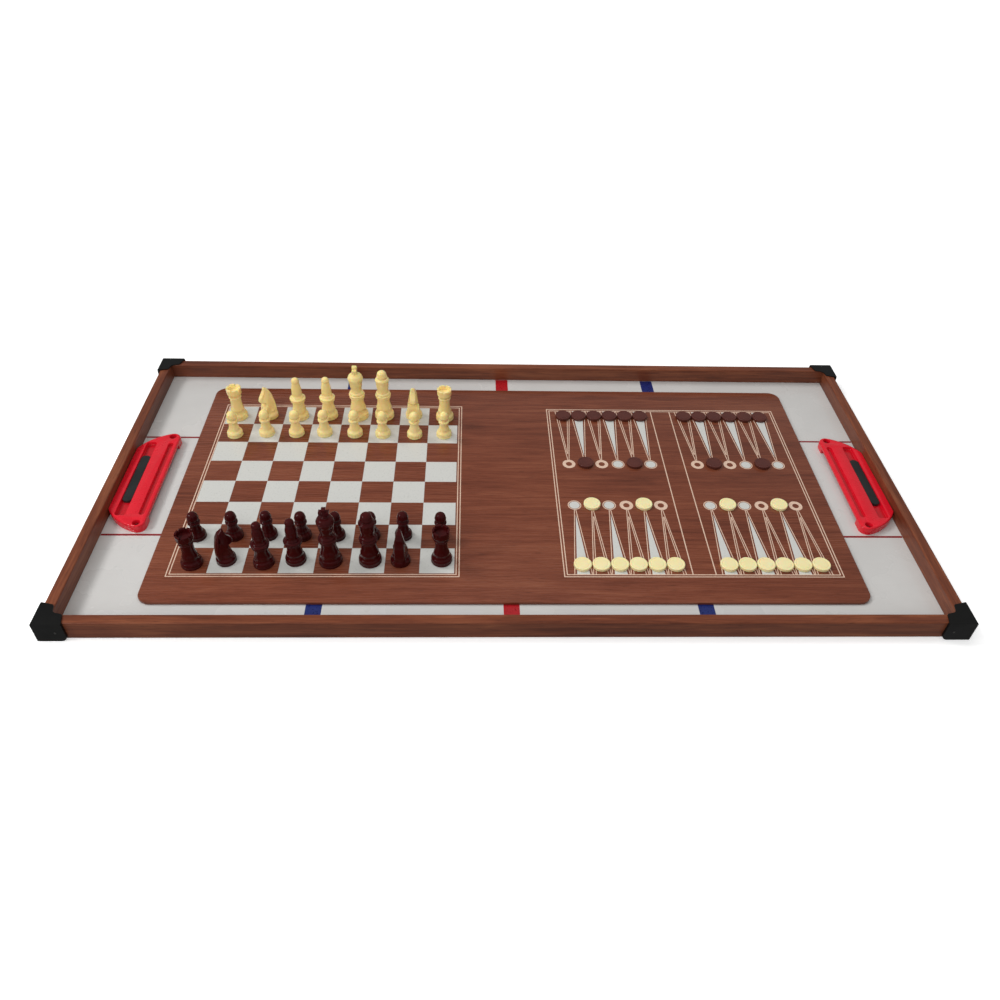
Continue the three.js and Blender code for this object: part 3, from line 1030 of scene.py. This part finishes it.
# How far the knights on file b are turned to their left, in radians
KNIGHT_TURN = 0.95


def inset_outline(outline, inset):
    """An outline with every corner moved inwards by a distance along its bisector."""
    points = [Vector(point) for point in outline]
    moved = []
    for index, point in enumerate(points):
        before = (point - points[index - 1]).normalized()
        after = (points[(index + 1) % len(points)] - point).normalized()
        across = before + after
        moved.append(tuple(point + Vector((-across.y, across.x)).normalized() * inset))
    return moved


def upright(form):
    """Stands a form that was stacked along Z up, so that its outline's second axis is height."""
    for vertex in form.verts:
        x, height, depth = vertex.co
        vertex.co = (depth, -x, height)


def joined(*forms):
    """One form holding all the forms' solids."""
    whole = bmesh.new()
    for form in forms:
        part = bpy.data.meshes.new("part")
        form.to_mesh(part)
        form.free()
        whole.from_mesh(part)
        bpy.data.meshes.remove(part)
    return whole


def sculpted(form):
    """The form's solids melted into one skin and smoothed."""
    subject = bpy.data.objects.new("subject", to_mesh("subject", form))
    bpy.context.collection.objects.link(subject)
    remesh = subject.modifiers.new("skin", "REMESH")
    remesh.mode = "VOXEL"
    remesh.voxel_size = VOXEL * MM
    smooth = subject.modifiers.new("smooth", "SMOOTH")
    smooth.factor = 0.5
    smooth.iterations = SMOOTHING
    result = evaluated(subject)
    bpy.data.objects.remove(subject)
    return result


def knight_half_width(height):
    """Half the knight's width at a height, between the listed ones."""
    for (low, low_width), (high, high_width) in zip(KNIGHT_WIDTH, KNIGHT_WIDTH[1:]):
        if height <= high:
            return low_width + (high_width - low_width) * max(height - low, 0) / (high - low)
    return KNIGHT_WIDTH[-1][1]


def knight_form():
    """A horse's head and neck on a turned foot, melted together, carved and melted again."""
    outline = filleted(KNIGHT_HEAD, 4)
    head = stack(*[(inset_outline(outline, inset), depth) for depth, inset in KNIGHT_LAYERS])
    upright(head)
    long_edges = [edge for edge in head.edges if edge.calc_length() > 4 * MM]
    bmesh.ops.subdivide_edges(head, edges=long_edges, cuts=2)
    for vertex in head.verts:
        vertex.co.x *= knight_half_width(vertex.co.z / MM)
        forwards = -vertex.co.y / MM
        if forwards > NOSE_START and vertex.co.z > CHIN_LEVEL * MM:
            vertex.co.x *= 1 - NOSE_TAPER * (forwards - NOSE_START)
        if forwards < -MANE_START:
            vertex.co.x *= max(1 + MANE_TAPER * (forwards + MANE_START), MANE_LEAST)
    carvings = []
    for side in (-1, 1):
        carvings += [bead(side * x, y, z, radius) for x, y, z, radius in KNIGHT_BEADS]
        carvings += [mane_notch(side, level) for level in MANE_LEVELS]
    return sculpted(cut(sculpted(joined(head, turned(KNIGHT_FOOT))), carvings))


def mane_notch(side, level):
    """A slanting cutter for one lock of the mane."""
    notch = stack((rounded_box(9, 1.1, 0.4), -0.9), (rounded_box(9, 1.1, 0.4), 1.6))
    bmesh.ops.rotate(notch, verts=notch.verts, matrix=Euler((math.radians(24), 0, 0)).to_matrix())
    bmesh.ops.rotate(notch, verts=notch.verts, matrix=Euler((0, math.radians(90), 0)).to_matrix())
    place = Vector((side * knight_half_width(level), 6.6 - (level - MANE_LEVELS[0]) * 0.2, level))
    bmesh.ops.translate(notch, verts=notch.verts, vec=place * MM)
    return notch


def bead(x, y, z, radius):
    """A small ball."""
    form = bmesh.new()
    bmesh.ops.create_icosphere(form, subdivisions=2, radius=radius * MM)
    bmesh.ops.translate(form, verts=form.verts, vec=Vector((x, y, z)) * MM)
    return form


def rook_form():
    """A turned tower with six notches in its rim."""
    notches = []
    bar = rounded_box(30, ROOK_NOTCH_WIDTH, 0.2)
    for index in range(3):
        notch = stack((bar, ROOK_NOTCH_FLOOR), (bar, ROOK_NOTCH_FLOOR + 4))
        turn = ROOK_NOTCH_START + index * math.pi / 3
        bmesh.ops.rotate(notch, verts=notch.verts, matrix=Euler((0, 0, turn)).to_matrix())
        notches.append(notch)
    return cut(turned(ROOK), notches)


def king_form(cross_turn):
    """A turned king with a cross that has softened edges."""
    outline = filleted(CROSS, 3)
    inner = inset_outline(outline, CROSS_EDGE)
    flat_half = CROSS_HALF - 0.25
    cross = stack((inner, -CROSS_HALF), (outline, -flat_half), (outline, flat_half), (inner, CROSS_HALF))
    upright(cross)
    bmesh.ops.rotate(cross, verts=cross.verts, matrix=Euler((0, 0, math.pi / 2 + cross_turn)).to_matrix())
    return joined(turned(KING), cross)


def bishop_form():
    """A turned bishop with a slanting slit in its mitre."""
    sheet = rounded_box(12, 8, 0.3)
    slit = stack((sheet, -0.4), (sheet, 0.4))
    lean = Euler((math.radians(MITRE_SLIT_LEAN), 0, 0))
    bmesh.ops.rotate(slit, verts=slit.verts, matrix=lean.to_matrix())
    bmesh.ops.translate(slit, verts=slit.verts, vec=Vector((0, 7.2, 49)) * MM)
    return cut(turned(BISHOP), [slit])


def chess_form(kind, side):
    if kind == "knight":
        return knight_form()
    if kind == "rook":
        return rook_form()
    if kind == "bishop":
        return bishop_form()
    if kind == "king":
        return king_form(math.pi / 2 if side == "ivory" else 0)
    return turned(QUEEN if kind == "queen" else PAWN)


def add_chess_pieces():
    """A figure on each chess node, facing the other side. The knights on file b are turned."""
    shapes = {}
    for node in sorted(frame["nodes"]):
        side, kind, *rest = node.split("_")
        if side not in ("ivory", "dark") or kind == "checker":
            continue
        if (side, kind) not in shapes:
            shapes[side, kind] = to_mesh(f"{kind}_shape", chess_form(kind, side))
        low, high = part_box(node)
        form = bmesh.new()
        form.from_mesh(shapes[side, kind])
        turn = 0 if side == "ivory" else math.pi
        if rest[0] == "b":
            turn -= KNIGHT_TURN
        place_form(form, (low.x + high.x) / 2, (low.y + high.y) / 2, low.z, turn)
        material = ivory_plastic if side == "ivory" else dark_plastic
        finish_piece(f"{node}_figure", to_mesh(node, form), material, node, [node], sharp=34)


CHECKER_RADIUS = 10
CHECKERS_IN_ROW = 6
CHECKER = [
    (0, 0.3), (6.5, 0.3), (7, 0), (9.2, 0), (CHECKER_RADIUS, 0.9, 0.2), (CHECKER_RADIUS, 3.1),
    (9.2, 4, 0.2), (8.1, 4), (7.7, 3.75), (7.0, 3.75), (6.6, 4), (0, 3.97),
]


def add_checkers():
    """The discs of each checker node: one, or a row that rides together."""
    radius = CHECKER_RADIUS * MM
    for node in sorted(frame["nodes"]):
        if "checker" not in node:
            continue
        low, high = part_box(node)
        material = ivory_disc if node.startswith("ivory") else dark_disc
        count = CHECKERS_IN_ROW if "row" in node else 1
        step = (high.x - low.x - 2 * radius) / max(count - 1, 1)
        for index in range(count):
            form = turned(CHECKER, 44)
            place_form(form, low.x + radius + index * step, (low.y + high.y) / 2, low.z)
            name = f"{node}_disc_{index + 1}"
            replaced = [node] if index == 0 else ()
            finish_piece(name, to_mesh(name, form), material, node, replaced, sharp=30)


# ---------------------------------------------------------------- studio


def add_camera():
    data = bpy.data.cameras.new("camera")
    data.lens = CAMERA_LENS
    data.sensor_width = CAMERA_SENSOR
    data.clip_start = 0.01
    camera = bpy.data.objects.new("camera", data)
    camera.location = CAMERA_PLACE
    camera.rotation_euler = [math.radians(angle) for angle in CAMERA_TURN]
    bpy.context.collection.objects.link(camera)
    bpy.context.scene.camera = camera


def add_floor():
    """A pale floor that glows a little, more so far from the object, and lights nothing itself."""
    shader = Shader("studio_floor")
    shader.set(Base_Color=colour(245, 245, 245), Roughness=0.9, Specular_IOR_Level=0.1)
    distance = shader.add("ShaderNodeVectorMath", operation="LENGTH")
    shader.feed(distance.inputs[0], shader.place)
    glow = shader.span(distance.outputs["Value"], *FLOOR_GLOW_REACH, *FLOOR_GLOW)
    shader.set(Emission_Color=(1, 1, 1, 1), Emission_Strength=glow)
    data = bpy.data.meshes.new("floor")
    level = cad_low.z - FLOOR_DROP
    signs = ((-1, -1), (1, -1), (1, 1), (-1, 1))
    corners = [(side * FLOOR_HALF, end * FLOOR_HALF, level) for side, end in signs]
    data.from_pydata(corners, [], [(0, 1, 2, 3)])
    data.materials.append(shader.material)
    floor = bpy.data.objects.new("floor", data)
    floor.visible_glossy = False
    floor.visible_diffuse = False
    bpy.context.collection.objects.link(floor)


def add_lamp(name, place, size, power, mirrored):
    """A square lamp that faces the object."""
    data = bpy.data.lights.new(name, "AREA")
    data.size = size
    data.energy = power
    lamp = bpy.data.objects.new(name, data)
    lamp.visible_glossy = mirrored
    lamp.location = place
    lamp.rotation_euler = (-Vector(place)).to_track_quat("-Z", "Y").to_euler()
    bpy.context.collection.objects.link(lamp)


def light_studio():
    """An even white surround, a soft sun for the window and the lamps."""
    world = bpy.data.worlds.new("studio")
    world.use_nodes = True
    background = world.node_tree.nodes["Background"]
    background.inputs["Color"].default_value = (1, 1, 1, 1)
    background.inputs["Strength"].default_value = WORLD_STRENGTH
    bpy.context.scene.world = world
    bpy.context.scene.view_settings.view_transform = "Standard"
    sun = bpy.data.lights.new("window", "SUN")
    sun.energy = SUN_ENERGY
    sun.angle = math.radians(SUN_ANGLE)
    window = bpy.data.objects.new("window", sun)
    window.rotation_euler = SUN_DIRECTION.to_track_quat("-Z", "Y").to_euler()
    window.visible_glossy = False
    bpy.context.collection.objects.link(window)
    for lamp in LAMPS:
        add_lamp(*lamp)


add_camera()
light_studio()
add_floor()
dress_tray()
add_caps()
for goal_side, goal_turn in (("right", 0), ("left", math.pi)):
    add_goal(goal_side, goal_turn)
add_rink_print()
add_board()
add_board_print()
add_chess_pieces()
add_checkers()
